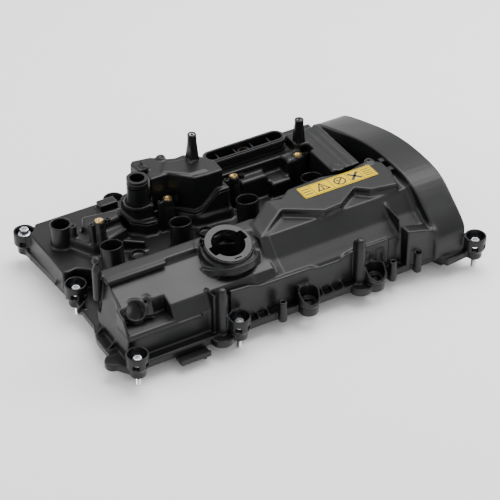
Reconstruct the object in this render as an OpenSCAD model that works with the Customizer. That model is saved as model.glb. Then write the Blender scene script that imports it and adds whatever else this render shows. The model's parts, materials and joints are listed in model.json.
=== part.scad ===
// Cam cover of an inline four-cylinder engine, with its oil separator, valves, seals and captive screws.
// +X runs along the crankshaft to the chain hood, +Z points up, and z = 0 is the gasket face.
// The origin is where the axis of the first plug tube crosses the gasket face.

/* [Cylinders] */
// Distance between cylinders
pitch = 91; // [91:1:91]
// Height of the plug tube rims above the gasket face
tube_rim_z = 72; // [68:1:76]
// Outer diameter of a plug tube
tube_od = 28; // [27:0.5:29]
// Wall of a plug tube
tube_wall = 1.8; // [1.5:0.1:2.5]
// Lean of the plug tubes towards the back
tube_lean = 9; // [8:0.5:10]

/* [Cover] */
// Wall of the moulded cover
wall = 3; // [2.5:0.1:3.5]
// Thickness of the sealing rail
rail_t = 9.5; // [8:0.5:10]
// Height of the flat strip on the front gallery
gallery_z = 80; // [78:1:82]
// Height of the label deck
deck_z = 90; // [88:1:92]
// Height of the coil valley floor
valley_z = 36; // [34:1:38]

/* [Screws] */
// Outer diameter of a screw cup
cup_od = 27; // [26:0.5:28]
// Height of a screw cup rim
cup_z = 31; // [29:1:33]
// Shank diameter of a cover screw
screw_d = 7; // [6:0.5:7]
// How far a screw reaches below the gasket face
screw_reach = 15; // [12:1:18]

/* [Openings] */
// Inner diameter of the oil filler mouth
filler_bore = 48; // [46:1:50]
// Lean of the filler neck towards the front
filler_lean = 15; // [12:1:18]
// Outer diameter of the breather neck
neck_od = 26; // [25:0.5:27]
// Inner diameter of the cam sensor port
port_bore = 20; // [19:0.5:21]
// Height of the oval outlet rim
outlet_z = 90; // [88:1:92]

/* [Separator] */
// Height of the separator lid
lid_z = 102; // [100:1:104]
// Height of the welded joint of the separator beside the breather neck
weld_z = 52; // [50:1:54]
// Height of the welded joint at the right end of the separator
weld_top_z = 75; // [73:1:76]
// Travel of the pressure control valve
valve_travel = 4; // [3:0.5:4]
// Travel of the non-return disc
check_travel = 2.5; // [2:0.5:3]

/* [Hidden] */
$fn = 48;
eps = 0.01;
tube_shift = tube_rim_z * tan(tube_lean);
cylinders = [0 : 3];
insert_dx = 6.1;
insert_y = 42.9;
insert_z = 76.9;
tube_len = tube_rim_z / cos(tube_lean) + 2;
filler_od = filler_bore + 16;
outlet_foot_z = 74;
outlet_at = [222, 76, outlet_foot_z];
neck_at = [66, 59];
neck_foot_z = 72;
outlet_h = outlet_z - outlet_foot_z;
rear_deck_z = 85;
deck_post_at = [290, 58, rear_deck_z];
valve_at = [134.4, 57.2];
seat_z = 84;
plate_z = seat_z + valve_travel + 0.3;
diaphragm_z = plate_z + 0.6;
spring_foot_z = 70;
spring_h = plate_z - 0.3 - spring_foot_z;

// Screw places: x, y, how far the screw is lifted in its grommet
cups = [[-55, 127, 9], [-46.5, 3.5, 0], [-43, -145, 0], [88, -145, 0], [410, -155, 0], [69, 133, 0],
        [240, 133, 0], [412, 92, 0]];
// The two cups whose front is cut away
cut_cups = [[181, -145], [272.6, -145.4]];
// Small blind screw bosses on the front rail: x, y, height
rail_bosses = [[146, -145, 28.6], [298, -145, 28.6], [333.5, -145.6, 28.6]];

// Outer edge of the sealing rail
rail_edge = [[-52, -142], [44, -142], [50, -141], [362, -141], [370, -157], [402, -154], [407, -130],
             [407, 110], [398, 133], [-48, 133], [-60, 125], [-55, 60], [-51, 0], [-52, -50],
             [-60, -75], [-61, -130]];
// Inner edge of the sealing rail
rail_hole = [[-44, -126], [360, -126], [368, -145], [393, -143], [395, 108], [386, 119], [-47, 119],
             [-44, 60], [-41, 34], [-31, 28], [-22, 20], [-19, 14], [-19, -50], [-44, -52]];

// Cross-sections (y, z) of the front gallery: the plain left part, and the right part under the label deck
gallery_section = [[-129, rail_t], [-129, 40], [-119, 58.5], [-69, 73], [-66, gallery_z],
                   [-48, gallery_z], [-48, valley_z - wall], [-60, rail_t]];
deck_section = [[-129, rail_t], [-129, 48], [-107, 60], [-87, 80], [-48, 80], [-48, valley_z - wall],
                [-60, rail_t]];
// Cross-section (y, z) of the chain hood, with its crown as a smooth curve through a few points
hood_crown = [[-150, 31], [-145, 46], [-122, 66], [-88, 87], [-40, 91.5], [10, 86.5], [65, 71.5],
              [118, 53], [130, 41]];
hood_section = concat([[-150, rail_t]], smooth(hood_crown, 5), [[130, rail_t]]);

// A Catmull-Rom curve through pts with n steps between neighbours
function smooth(pts, n) = let (m = len(pts) - 1) concat([for (i = [0 : m - 1], j = [0 : n - 1])
    let (p0 = pts[max(i - 1, 0)], p1 = pts[i], p2 = pts[i + 1], p3 = pts[min(i + 2, m)], t = j / n)
    ((2 * p1) + (p2 - p0) * t + (2 * p0 - 5 * p1 + 4 * p2 - p3) * t * t
     + (3 * p1 - p0 - 3 * p2 + p3) * t * t * t) / 2], [pts[m]]);
// Outlines (x, y) of the label deck, the valley floor, the separator and the rear box
deck_edge = [[151, -88], [194, -62], [236, -89], [260, -87], [291, -67], [306, -80], [340, -87],
             [349, -60], [349, -38], [342, -31], [325, -28], [299, -35], [268, -27], [220, -30],
             [204, -42], [186, -36], [154, -59]];
valley_edge = [[-54, 22], [-46, 20], [-37, 22], [-30, 18], [-25, 13], [-22, 12], [-22, -48],
               [356, -48], [356, -20], [290, -20], [290, 34], [296, 34], [296, 53], [177, 53],
               [177, 60], [161, 60], [161, 100], [330, 100], [330, 127], [-56, 127], [-54, 60]];
pot_edge = [[48, 78], [50, 50], [58, 43], [64, 36], [78, 34], [82, 38], [82, 51], [104.5, 51],
            [126, 26], [160, 23], [172, 23], [172, 53], [159.5, 59], [158, 98], [80, 103], [62, 90]];
lid_edge = [[81, 54], [105, 54], [128, 31], [146, 29], [166, 29], [167, 50], [156, 68], [140, 81],
            [128, 80], [117, 84], [103, 96], [80, 100], [75, 95], [77, 78.5], [89, 73], [82, 66]];
neck_block_edge = [[51, 76], [55, 49], [62, 44], [78, 43], [81, 46], [81, 54], [82, 66], [84, 76],
                   [72, 84], [58, 82]];
// Outline (x, z) of the separator's lower half, whose top edge sweeps up at the right end
weld_line = concat([[40, valley_z], [40, weld_z], [126, weld_z]], smooth([[126, weld_z],
                    [136, weld_z + 3], [146, weld_z + 13], [156, weld_top_z - 1],
                    [162, weld_top_z]], 3), [[180, weld_top_z], [180, valley_z]]);
rear_deck_edge = [[290, -20], [330, -20], [330, 53], [296, 53], [296, 34], [290, 34]];
rear_box_edge = [[161, 60], [177, 60], [177, 53], [330, 53], [330, 100], [161, 100]];

// Moves every piece from the rim datum to the row's origin
module in_frame() translate([0, tube_shift, 0]) children();

// Extrudes a (y, z) outline along X from x0 to x1
module along_x(x0, x1) translate([x0, 0, 0]) rotate([90, 0, 90]) linear_extrude(x1 - x0) children();

// Sets a piece upright on an axis that leans about X
module leaning(p, lean) translate(p) rotate([-lean, 0, 0]) children();

// Moves every corner of an outline inwards by t
function unit(v) = v / norm(v);
function left_of(v) = [-v[1], v[0]];
function inset(pts, t) = [for (i = [0 : len(pts) - 1])
    let (n = len(pts), a = unit(pts[i] - pts[(i + n - 1) % n]), b = unit(pts[(i + 1) % n] - pts[i]),
         na = left_of(a), nb = left_of(b)) pts[i] + (na + nb) * t / (1 + na * nb)];
function turned(pts) = [for (i = [len(pts) - 1 : -1 : 0]) pts[i]];
// The same for a cross-section, whose foot stays open
function hollow(pts, t) = [for (q = inset(pts, t)) q[1] < rail_t + t + 1 ? [q[0], -1] : q];

// A gallery shell with end walls, open below, whose left end leans inwards by lean
module shell_x(section, x0, x1, lean = 0) {
    difference() {
        intersection() {
            along_x(x0, x1) polygon(section);
            end_slope(x0, x1, lean);
        }
        intersection() {
            along_x(x0 + wall, x1 - wall) polygon(hollow(turned(section), wall));
            end_slope(x0 + wall, x1, lean);
        }
    }
}

// The space to the right of a left end that leans inwards
module end_slope(x0, x1, lean) {
    rotate([90, 0, 0]) translate([0, 0, -200]) linear_extrude(400)
        polygon([[x0, -5], [x1 + 1, -5], [x1 + 1, 100], [x0 + lean, 100], [x0, 20]]);
}

// The whole sealing rail, which the next four nodes share out
module sealing_rail() {
    in_frame() difference() {
        union() {
            linear_extrude(rail_t) difference() {
                union() {
                    polygon(rail_edge);
                    for (c = cups) translate([c[0], c[1]]) circle(d = 19);
                    for (c = cut_cups) translate(c) circle(d = 24);
                    for (x = [67, 255]) translate([x, -142]) circle(d = 28);
                    translate([-61, -119]) circle(d = 20);
                }
                polygon(rail_hole);
            }
            for (c = cups) translate([c[0], c[1], 0]) cup_body();
            for (c = cut_cups) translate([c[0], c[1], 0]) cup_body();
            for (b = rail_bosses) translate([b[0], b[1], 0]) cylinder(d = 10, h = b[2]);
        }
        for (c = cups) translate([c[0], c[1], 0]) cup_space();
        for (c = cut_cups) translate([c[0], c[1], 0]) {
            cup_space();
            translate([0, -14, cup_z]) rotate([45, 0, 0]) cube([40, 22, 22], center = true);
        }
        for (b = rail_bosses) translate([b[0], b[1], b[2] - 14]) cylinder(d = 5, h = 15);
        for (c = cups) translate([c[0], c[1], 0]) cup_windows();
    }
}

module rail_front() {
    color([0.13, 0.13, 0.14]) intersection() {
        sealing_rail();
        in_frame() translate([-100, -200, -1]) cube([600, 90, 50]);
    }
}

module rail_rear() {
    color([0.13, 0.13, 0.14]) intersection() {
        sealing_rail();
        in_frame() translate([-100, 106.5, -1]) cube([600, 90, 50]);
    }
}

module rail_left() {
    color([0.13, 0.13, 0.14]) intersection() {
        sealing_rail();
        in_frame() translate([-100, -110, -1]) cube([200, 216.5, 50]);
    }
}

module rail_right() {
    color([0.13, 0.13, 0.14]) intersection() {
        sealing_rail();
        in_frame() translate([300, -110, -1]) cube([200, 216.5, 50]);
    }
}

// A screw cup on its boss
module cup_body() {
    cylinder(d = 18, h = 14);
    translate([0, 0, 9]) cylinder(d1 = 18, d2 = cup_od, h = 5);
    translate([0, 0, 14 - eps]) cylinder(d = cup_od, h = cup_z - 14);
}

// The space inside a screw cup
module cup_space() {
    translate([0, 0, -1]) cylinder(d = 12.6, h = 20);
    translate([0, 0, 14]) cylinder(d = cup_od - 5, h = 20);
}

// The room that the shells leave round every screw cup, up to height top
module cup_relief(top, grow = 0.02) {
    for (c = cups) translate([c[0], c[1], -1]) cylinder(d = cup_od + grow, h = top + 1);
    for (c = cut_cups) translate([c[0], c[1], -1]) cylinder(d = cup_od + grow, h = top + 1);
}

// The windows that drain a screw cup
module cup_windows() {
    for (a = [-125, -55]) rotate(a) translate([11, 0, 18]) cube([10, 7, 7], center = true);
}

module front_gallery() {
    color([0.14, 0.14, 0.15]) in_frame() difference() {
        union() {
            shell_x(gallery_section, -48, 150, 14);
            shell_x(deck_section, 150 - wall, 356);
            for (x = [70, 256]) pillar(x);
            along_x(60, 62.5) polygon([[-128, rail_t], [-135, rail_t], [-134, 64], [-115, 62], [-115, 57.5],
                [-118, 57],
                                       [-128, 39]]);
            along_x(316, 318.5) polygon([[-128, rail_t], [-131.5, rail_t], [-127, 72], [-94, 74], [-94, 72],
                [-106, 58.5],
                                         [-128, 46.5]]);
            rotate([90, 0, 0]) translate([0, 0, 127]) linear_extrude(16)
                polygon([[319, rail_t], [356, rail_t], [356, 49], [347, 54], [321, 61], [319, 61]]);
        }
        translate([322, -140, -1]) cube([31, 15, 47]);
        cup_relief(cup_z);
        for (b = rail_bosses) translate([b[0], b[1], -1]) cylinder(d = 10.02, h = b[2] + 1);
        sensor_pad();
        sensor_axis() translate([0, 0, -40]) cylinder(d = port_bore, h = 60);
        // The corner that the pad would cut loose
        translate([-18, -101.1, 60]) cube([15.5, 5, 10]);
        translate([-45, -54, 30]) cylinder(d = 11.02, h = 70);
        along_x(150 - wall - 1, 150 + 1) polygon(hollow(turned(deck_section), wall));
        translate([-43 - wall, -150, 42 - wall]) cube([56 + 2 * wall, 46 + wall, 60]);
        filler_axis() cylinder(d = filler_od + 0.02, h = 60);
        translate([0, 0, 80 - wall - 1]) linear_extrude(20) polygon(inset(deck_edge, wall + 2));
    }
}

// The leaning axis of the oil filler
module filler_axis() leaning([108, -78, 62], -filler_lean) children();

// A round pillar on the front wall that carries the taper of the gallery
module pillar(x) {
    translate([x, -137, rail_t]) {
        cylinder(d = 14, h = 50);
        translate([0, 0, 50]) cylinder(d1 = 14, d2 = 9, h = 12);
        translate([-5, 0, 0]) cube([10, 10, 56]);
    }
}

module label_deck() {
    color([0.15, 0.15, 0.16]) in_frame() difference() {
        intersection() {
            translate([0, 0, gallery_z]) linear_extrude(deck_z - gallery_z) polygon(deck_edge);
            deck_ramp(deck_z);
        }
        intersection() {
            translate([0, 0, gallery_z - 1]) linear_extrude(deck_z - gallery_z) polygon(inset(deck_edge, wall));
            deck_ramp(deck_z - wall);
        }
        filler_axis() cylinder(d = filler_od + 4, h = 60);
    }
}

// The space under the label deck's top face, which ramps down towards the filler
module deck_ramp(top) {
    rotate([90, 0, 0]) translate([0, 0, 10]) linear_extrude(90)
        polygon([[140, 60], [360, 60], [360, top], [190, top], [151, top - deck_z + gallery_z + 1], [140, 78]]);
}

module coil_valley() {
    color([0.12, 0.12, 0.13]) in_frame() difference() {
        union() {
            translate([0, 0, rail_t]) linear_extrude(valley_z - rail_t) polygon(valley_edge);
            translate([38, 105, valley_z - wall]) cube([24, 15, 10 + wall]);
        }
        translate([41, 108, -1]) cube([18, 9, valley_z + 11 - wall]);
        difference() {
            translate([0, 0, -1]) linear_extrude(valley_z + 1 - wall) polygon(inset(valley_edge, wall));
            cup_relief(60, 6);
        }
        cup_relief(60);
        // The front and the right end stay open to the galleries
        translate([-19, -60, -1]) cube([380, 20, valley_z + 1 - wall]);
        translate([340, -46, -1]) cube([20, 24, valley_z + 1 - wall]);
        translate([150, 63, -1]) cube([20, 61, valley_z + 1 - wall]);
        translate([150, 90, -1]) cube([178, 20, valley_z + 1 - wall]);
        for (k = cylinders) leaning([k * pitch, 0, tube_rim_z], tube_lean) {
            translate([0, 0, -110]) cylinder(d = tube_od + 0.02, h = 130);
        }
    }
}

module plug_tubes() {
    color([0.11, 0.11, 0.12]) in_frame()
        for (k = cylinders) leaning([k * pitch, 0, tube_rim_z], tube_lean) translate([0, 0,
            -tube_len]) difference() {
            cylinder(d = tube_od, h = tube_len);
            translate([0, 0, -1]) cylinder(d = tube_od - 2 * tube_wall, h = tube_len + 2);
        }
}

module coil_bosses() {
    color([0.12, 0.12, 0.13]) in_frame() for (k = cylinders) difference() {
        leaning([k * pitch + insert_dx, insert_y, insert_z], tube_lean) {
            translate([0, 0, -48]) cylinder(d = 14, h = 48);
            translate([-10, 1, -48]) cylinder(d = 8, h = 46);
            translate([-10, -2, -48]) cube([10, 5, 45]);
        }
        leaning([k * pitch + insert_dx, insert_y, insert_z], tube_lean) {
            translate([0, 0, -12]) cylinder(d = 11.02, h = 13);
            translate([-10, 1, -10]) cylinder(d = 3.6, h = 12);
        }
        translate([-100, -100, -40]) cube([500, 300, 40 + valley_z]);
    }
}

module rear_deck() {
    color([0.13, 0.13, 0.14]) in_frame() difference() {
        union() {
            translate([0, 0, rail_t]) linear_extrude(rear_deck_z - rail_t) polygon(rear_deck_edge);
            translate([281, 53, outlet_foot_z]) cube([49, 25, rear_deck_z - outlet_foot_z]);
            translate([287, 49, outlet_foot_z + 4]) cube([10, 10, rear_deck_z - outlet_foot_z - 4]);
        }
        translate([0, 0, -1]) linear_extrude(rear_deck_z + 1 - wall) polygon(inset(rear_deck_edge, wall));
        translate([280, -21, -1]) cube([60, 8, valley_z + 1 - wall]);
        for (x = [308, 319]) translate([x, -30, rear_deck_z - 1]) cube([3, 120, 3]);
    }
}

module rear_box() {
    color([0.13, 0.13, 0.14]) in_frame() difference() {
        translate([0, 0, rail_t]) linear_extrude(outlet_foot_z - rail_t) polygon(rear_box_edge);
        translate([0, 0, -1]) linear_extrude(outlet_foot_z + 1 - wall) polygon(inset(rear_box_edge, wall));
        translate([outlet_at[0], outlet_at[1], outlet_foot_z - 10]) cylinder(d = 14, h = 20);
        translate([150, 63, -1]) cube([20, 34, valley_z + 1 - wall]);
        translate([170, 90, -1]) cube([157, 20, valley_z + 1 - wall]);
        translate([320, 60, -1]) cube([20, 37, 43]);
    }
}

module channel_floor() {
    color([0.12, 0.12, 0.13]) in_frame() difference() {
        translate([330, -20, rail_t]) cube([26, 147, 45 - rail_t]);
        translate([329, -20 + wall, -1]) cube([28, 147 - 2 * wall, 46 - wall]);
        translate([329, -24, -1]) cube([28, 10, valley_z + 1 - wall]);
    }
}

module chain_hood() {
    color([0.15, 0.15, 0.16]) in_frame() difference() {
        along_x(356, 400) polygon(hood_section);
        difference() {
            along_x(356 + wall, 400 - wall) polygon(hollow(turned(hood_section), wall));
            cup_relief(38, 6);
        }
        cup_relief(60);
        translate([350, -112, -1]) cube([10, 216, 32]);
    }
}

// All that lies below the welded joint, raised by rise
module below_weld(rise = 0) {
    translate([0, 140, rise]) rotate([90, 0, 0]) linear_extrude(140) polygon(weld_line);
}

module separator_pot() {
    color([0.12, 0.12, 0.13]) in_frame() difference() {
        intersection() {
            translate([0, 0, valley_z]) linear_extrude(60) polygon(pot_edge);
            below_weld();
        }
        translate([0, 0, valley_z + wall]) linear_extrude(60) polygon(inset(pot_edge, wall));
        translate([148, 88, valley_z - 1]) cylinder(d = 8, h = 20);
    }
}

module separator_lid() {
    color([0.15, 0.15, 0.16]) in_frame() difference() {
        union() {
            intersection() {
                translate([0, 0, valley_z]) linear_extrude(60) polygon(pot_edge);
                below_weld(wall);
            }
            translate([0, 0, valley_z + 2]) linear_extrude(lid_z - valley_z - 2) polygon(lid_edge);
            translate([0, 0, valley_z + 2]) linear_extrude(neck_foot_z - valley_z - 2) polygon(neck_block_edge);
        }
        below_weld();
        difference() {
            translate([0, 0, valley_z]) linear_extrude(lid_z - valley_z - wall) polygon(inset(lid_edge, wall));
            valve_axis(diaphragm_z + 1.2) difference() {
                cylinder(d = 39, h = 20);
                translate([0, 0, -1]) cylinder(d = 34, h = 30);
            }
        }
        translate([0, 0, valley_z]) linear_extrude(neck_foot_z - valley_z - wall)
            polygon(inset(neck_block_edge, wall));
        translate([neck_at[0], neck_at[1], valley_z]) cylinder(d = neck_od - 8, h = 60);
    }
}

module separator_baffle() {
    color([0.2, 0.2, 0.21]) in_frame() difference() {
        translate([106, 54.8, valley_z + wall]) cube([2, 42.5, weld_z - valley_z - wall]);
        for (y = [60 : 8 : 92]) translate([100, y, valley_z + wall + 7]) rotate([0, 90, 0]) cylinder(d = 4,
            h = 12);
    }
}

module breather_neck() {
    color([0.13, 0.13, 0.14]) in_frame() translate([neck_at[0], neck_at[1], neck_foot_z]) difference() {
        union() {
            cylinder(d = neck_od, h = 24);
            translate([0, 0, 26]) cylinder(d = neck_od, h = 3);
            translate([0, 0, 32]) cylinder(d = neck_od, h = 3);
            cylinder(d = neck_od - 4.3, h = 35);
        }
        translate([0, 0, -1]) cylinder(d = neck_od - 8, h = 40);
    }
}

module breather_seal() {
    color([0.05, 0.05, 0.05]) in_frame() translate([neck_at[0], neck_at[1], neck_foot_z + 30.5])
        rotate_extrude() translate([neck_od / 2 - 1.1, 0]) circle(d = 2.1);
}

// An oval outline, round at both ends
module oval(length, width) {
    for (x = [-1, 1]) translate([x * (length - width) / 2, 0]) circle(d = width);
    square([length - width, width], center = true);
}

module outlet_port() {
    color([0.12, 0.12, 0.13]) in_frame() translate(outlet_at) difference() {
        union() {
            linear_extrude(outlet_h) oval(110, 22);
            linear_extrude(3) oval(114, 28);
            translate([0, 0, outlet_h - 8]) linear_extrude(3) oval(114, 26);
        }
        difference() {
            translate([0, 0, -1]) linear_extrude(outlet_h + 2) oval(105, 17);
            for (x = [-36, -12, 12, 36]) translate([x, 0, 0]) cube([1.8, 30, 22], center = true);
        }
    }
}

module outlet_seal() {
    color([0.05, 0.05, 0.05]) in_frame() translate(outlet_at + [0, 0, outlet_h - 3.2]) difference() {
        linear_extrude(2.2) oval(113.5, 25.5);
        translate([0, 0, -1]) linear_extrude(5) oval(110.02, 22.02);
    }
}

module filler_neck() {
    color([0.13, 0.13, 0.14]) in_frame() filler_axis() difference() {
        union() {
            cylinder(d = filler_od, h = 19);
            cylinder(d = filler_od - 5, h = 27);
        }
        translate([0, 0, -1]) cylinder(d = filler_bore + 4, h = 40);
        translate([0, 0, 21]) cylinder(d = filler_od - 9, h = 40);
    }
}

module filler_ring() {
    color([0.16, 0.16, 0.17]) in_frame() filler_axis() translate([0, 0, 21]) difference() {
        cylinder(d = filler_od - 9.02, h = 6);
        translate([0, 0, -1]) cylinder(d = filler_bore - 8, h = 10);
        intersection() {
            translate([0, 0, -1]) cylinder(d = filler_bore + 2, h = 10);
            rotate(12) cube([60, 13, 30], center = true);
        }
        translate([0, -23.5, 4]) cube([9, 1.6, 6], center = true);
    }
}

module sensor_seat() {
    color([0.16, 0.16, 0.17]) in_frame() difference() {
        union() {
            difference() {
                intersection() {
                    along_x(-43 - wall, 13 + wall) polygon(gallery_section);
                    translate([-43 - wall, -150, 42 - wall]) cube([56 + 2 * wall, 46 + wall, 60]);
                }
                translate([-43, -150, 42]) cube([56, 46, 60]);
            }
            sensor_pad();
        }
        sensor_axis() translate([0, 0, -40]) cylinder(d = port_bore, h = 60);
        sensor_axis() translate([14, 8, -8]) cylinder(d = 6.02, h = 20);
    }
}

// The ring and the pad that the cam sensor sits on
module sensor_pad() {
    sensor_axis() {
        translate([0, 0, -12]) cylinder(d = 27, h = 16);
        translate([-19, -9, -9]) cube([40, 22, 11]);
    }
}

// The axis of the cam sensor
module sensor_axis() translate([-23, -103, 54]) rotate([48, 0, -12]) children();

module sensor_insert() {
    color([0.75, 0.6, 0.3]) in_frame() sensor_axis() translate([14, 8, -8]) difference() {
        cylinder(d = 6, h = 9);
        translate([0, 0, -1]) cylinder(d = 4.2, h = 11);
    }
}

module round_socket() {
    color([0.12, 0.12, 0.13]) in_frame() difference() {
        union() {
            translate([-30, 74, valley_z]) cylinder(d = 26, h = 30);
            translate([-19, 63, valley_z]) cylinder(d = 9, h = 30);
        }
        translate([-30, 74, valley_z + 4]) cylinder(d = 21, h = 40);
        translate([-19, 63, valley_z + 18]) cylinder(d = 5.02, h = 20);
    }
}

module socket_insert() {
    color([0.75, 0.6, 0.3]) in_frame() translate([-19, 63, valley_z + 18]) difference() {
        cylinder(d = 5, h = 11);
        translate([0, 0, -1]) cylinder(d = 3.3, h = 13);
    }
}

module ball_post() {
    color([0.14, 0.14, 0.15]) in_frame() translate([-45, -54, 46]) {
        cylinder(d = 11, h = 42);
        translate([0, 0, 42]) cylinder(d1 = 11, d2 = 5, h = 9);
        translate([0, 0, 54.5]) sphere(d = 10);
    }
}

// A tapered post with four gussets and a blind hole in its top
module gusset_post(h, foot) {
    difference() {
        union() {
            cylinder(d = 11, h = h);
            for (a = [45 : 90 : 315]) rotate(a) rotate([90, 0, 0]) translate([0, 0, -0.9]) linear_extrude(1.8)
                polygon([[4, 0], [foot, 0], [5.5, h * 0.8], [4, h * 0.8]]);
        }
        translate([0, 0, h - 12]) cylinder(d = 6.02, h = 14);
    }
}

module lid_post() {
    color([0.11, 0.11, 0.12]) in_frame() translate([144.5, 66, lid_z]) gusset_post(37, 9);
}

module deck_post() {
    color([0.11, 0.11, 0.12]) in_frame() translate(deck_post_at) gusset_post(31, 8);
}

module post_inserts() {
    color([0.6, 0.6, 0.6]) in_frame() for (p = [[144.5, 66, lid_z + 26], deck_post_at + [0, 0,
        20]]) translate(p) difference() {
        cylinder(d = 6, h = 10);
        translate([0, 0, -1]) cylinder(d = 4.2, h = 12);
    }
}

module coil_inserts() {
    color([0.83, 0.68, 0.35]) in_frame() for (k = cylinders)
        leaning([k * pitch + insert_dx, insert_y, insert_z], tube_lean) translate([0, 0, -12]) difference() {
            cylinder(d = 11, h = 12.6);
            translate([0, 0, -1]) cylinder(d = 5, h = 15);
        }
}

// The small ring clips to the right of each coil boss
module coil_clips() {
    color([0.11, 0.11, 0.12]) in_frame() for (k = cylinders)
        leaning([k * pitch + insert_dx, insert_y, insert_z], tube_lean) translate([10.5, -1, -6]) difference() {
            cylinder(d = 7, h = 5);
            translate([0, 0, -1]) cylinder(d = 3.5, h = 8);
            translate([-8, -5, -1]) cube([4.55, 10, 8]);
        }
}

module label() {
    color([0.95, 0.85, 0.1]) in_frame() translate([229, -58.5, deck_z]) cube([102, 22.5, 0.3]);
}

module harness_bracket() {
    color([0.1, 0.1, 0.1]) in_frame() translate([8, -154, -4]) {
        cube([38, 15, 4]);
        translate([0, 0, 3.5]) cube([38, 2, 3]);
        translate([32, 5, -4]) cylinder(d = 6, h = 4.5);
    }
}

module hose_clips() {
    color([0.11, 0.11, 0.12]) in_frame() for (y = [-36, -56]) translate([349.3, y, 80]) cube([6.4, 7, 8]);
}

module gallery_baffle() {
    color([0.22, 0.22, 0.23]) in_frame() difference() {
        translate([-42.9, -126, 30]) cube([395.9, 60, 2]);
        translate([108, -78, 28]) cylinder(d = 46, h = 6);
        for (x = [-20 : 30 : 310]) translate([x, -76, 29]) cylinder(d = 6, h = 6);
        sensor_axis() translate([0, 0, -60]) cylinder(d = 30, h = 80);
    }
}

module perimeter_gasket() {
    color([0.1, 0.12, 0.1]) in_frame() translate([0, 0, -1.5]) linear_extrude(1.5) difference() {
        polygon(inset(rail_hole, -4.5));
        polygon(inset(rail_hole, -1.5));
    }
}

module tube_seals() {
    color([0.1, 0.12, 0.1]) in_frame() for (k = cylinders)
        leaning([k * pitch, 0, tube_rim_z], tube_lean) translate([0, 0, -tube_len]) difference() {
            cylinder(d = tube_od + 5, h = 5);
            translate([0, 0, -1]) cylinder(d = tube_od + 0.02, h = 7);
        }
}

module cover_screws() {
    color([0.85, 0.86, 0.88]) in_frame() for (c = cups) translate([c[0], c[1], 0]) difference() {
        union() {
            translate([0, 0, c[2] - screw_reach]) cylinder(d = screw_d - 1, h = screw_reach + 17);
            translate([0, 0, -1]) cylinder(d = screw_d, h = c[2] + 18);
            translate([0, 0, c[2] + 16.5]) cylinder(d = 16, h = 1.8);
            translate([0, 0, c[2] + 16.5]) cylinder(d = 10, h = 8);
        }
        translate([0, 0, c[2] + 20]) cylinder(d = 5.5, h = 6);
    }
}

module screw_sleeves() {
    color([0.7, 0.71, 0.72]) in_frame() for (c = cups) translate([c[0], c[1], -0.5]) difference() {
        cylinder(d = 9, h = 16.5);
        translate([0, 0, -1]) cylinder(d = screw_d + 0.3, h = 20);
    }
}

module screw_grommets() {
    color([0.05, 0.05, 0.05]) in_frame() for (c = cups) translate([c[0], c[1], 0]) difference() {
        union() {
            cylinder(d = 12.6, h = 14);
            translate([0, 0, 14]) cylinder(d = 17, h = 1.5);
        }
        translate([0, 0, -1]) cylinder(d = 9, h = 20);
    }
}

// The pressure control valve stands on this axis in the separator
module valve_axis(z) translate([valve_at[0], valve_at[1], z]) children();

module valve_seat() {
    color([0.2, 0.2, 0.21]) in_frame() difference() {
        valve_axis(valley_z + wall) cylinder(d = 26, h = seat_z - valley_z - wall);
        valve_axis(valley_z + wall + 3) cylinder(d = 12, h = 100);
        valve_axis(spring_foot_z) cylinder(d = 21, h = 100);
        valve_axis(valley_z + wall + 12) rotate([-90, 0, 0]) cylinder(d = 12, h = 20);
    }
}

module valve_plate() {
    color([0.8, 0.8, 0.8]) in_frame() difference() {
        valve_axis(plate_z) cylinder(d = 29, h = 2.5);
        valve_axis(plate_z + 1.5) cylinder(d = 20, h = 2.5);
    }
}

module valve_diaphragm() {
    color([0.1, 0.1, 0.35]) in_frame() valve_axis(diaphragm_z) difference() {
        cylinder(d = 36, h = 1.2);
        translate([0, 0, -1]) cylinder(d = 29.6, h = 5);
    }
}

// A coil spring as a tube swept round its helix
module coil_spring(r, wire, h, turns) {
    steps = 14 * turns;
    sides = 6;
    pts = [for (i = [0 : steps], j = [0 : sides - 1])
        let (a = 360 * i * turns / steps, b = 360 * j / sides, q = r + wire / 2 * cos(b))
            [q * cos(a), q * sin(a), wire / 2 + (h - wire) * i / steps + wire / 2 * sin(b)]];
    walls = [for (i = [0 : steps - 1], j = [0 : sides - 1], t = [0, 1]) let (k = (j + 1) % sides)
        t == 0 ? [i * sides + j, (i + 1) * sides + j, (i + 1) * sides + k]
               : [i * sides + j, (i + 1) * sides + k, i * sides + k]];
    ends = [[for (j = [0 : sides - 1]) j], [for (j = [sides - 1 : -1 : 0]) steps * sides + j]];
    polyhedron(pts, concat(walls, ends), convexity = 8);
}

module valve_spring() {
    color([0.8, 0.8, 0.8]) in_frame() valve_axis(spring_foot_z) coil_spring(7.5, 1.4, spring_h, 5);
}

module check_seat() {
    color([0.2, 0.2, 0.21]) in_frame() translate(outlet_at) difference() {
        cylinder(d = 16.5, h = 9);
        translate([0, 0, -1]) cylinder(d = 11, h = 20);
        translate([0, 0, 2]) cylinder(d = 14.5, h = 5);
        for (a = [0, 60, 120]) rotate(a) translate([0, 0, 4.5]) cube([30, 3.5, 5], center = true);
    }
}

module check_disc() {
    color([0.7, 0.4, 0.2]) in_frame() translate(outlet_at + [0, 0, 2.3]) cylinder(d = 13.9, h = 1.6);
}

rail_front();
rail_rear();
rail_left();
rail_right();
front_gallery();
label_deck();
coil_valley();
plug_tubes();
coil_bosses();
rear_deck();
rear_box();
channel_floor();
chain_hood();
separator_pot();
separator_lid();
separator_baffle();
breather_neck();
breather_seal();
outlet_port();
outlet_seal();
filler_neck();
filler_ring();
sensor_seat();
sensor_insert();
round_socket();
socket_insert();
ball_post();
lid_post();
deck_post();
post_inserts();
coil_inserts();
coil_clips();
label();
harness_bracket();
hose_clips();
gallery_baffle();
perimeter_gasket();
tube_seals();
cover_screws();
screw_sleeves();
screw_grommets();
valve_seat();
valve_plate();
valve_diaphragm();
valve_spring();
check_seat();
check_disc();
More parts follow.
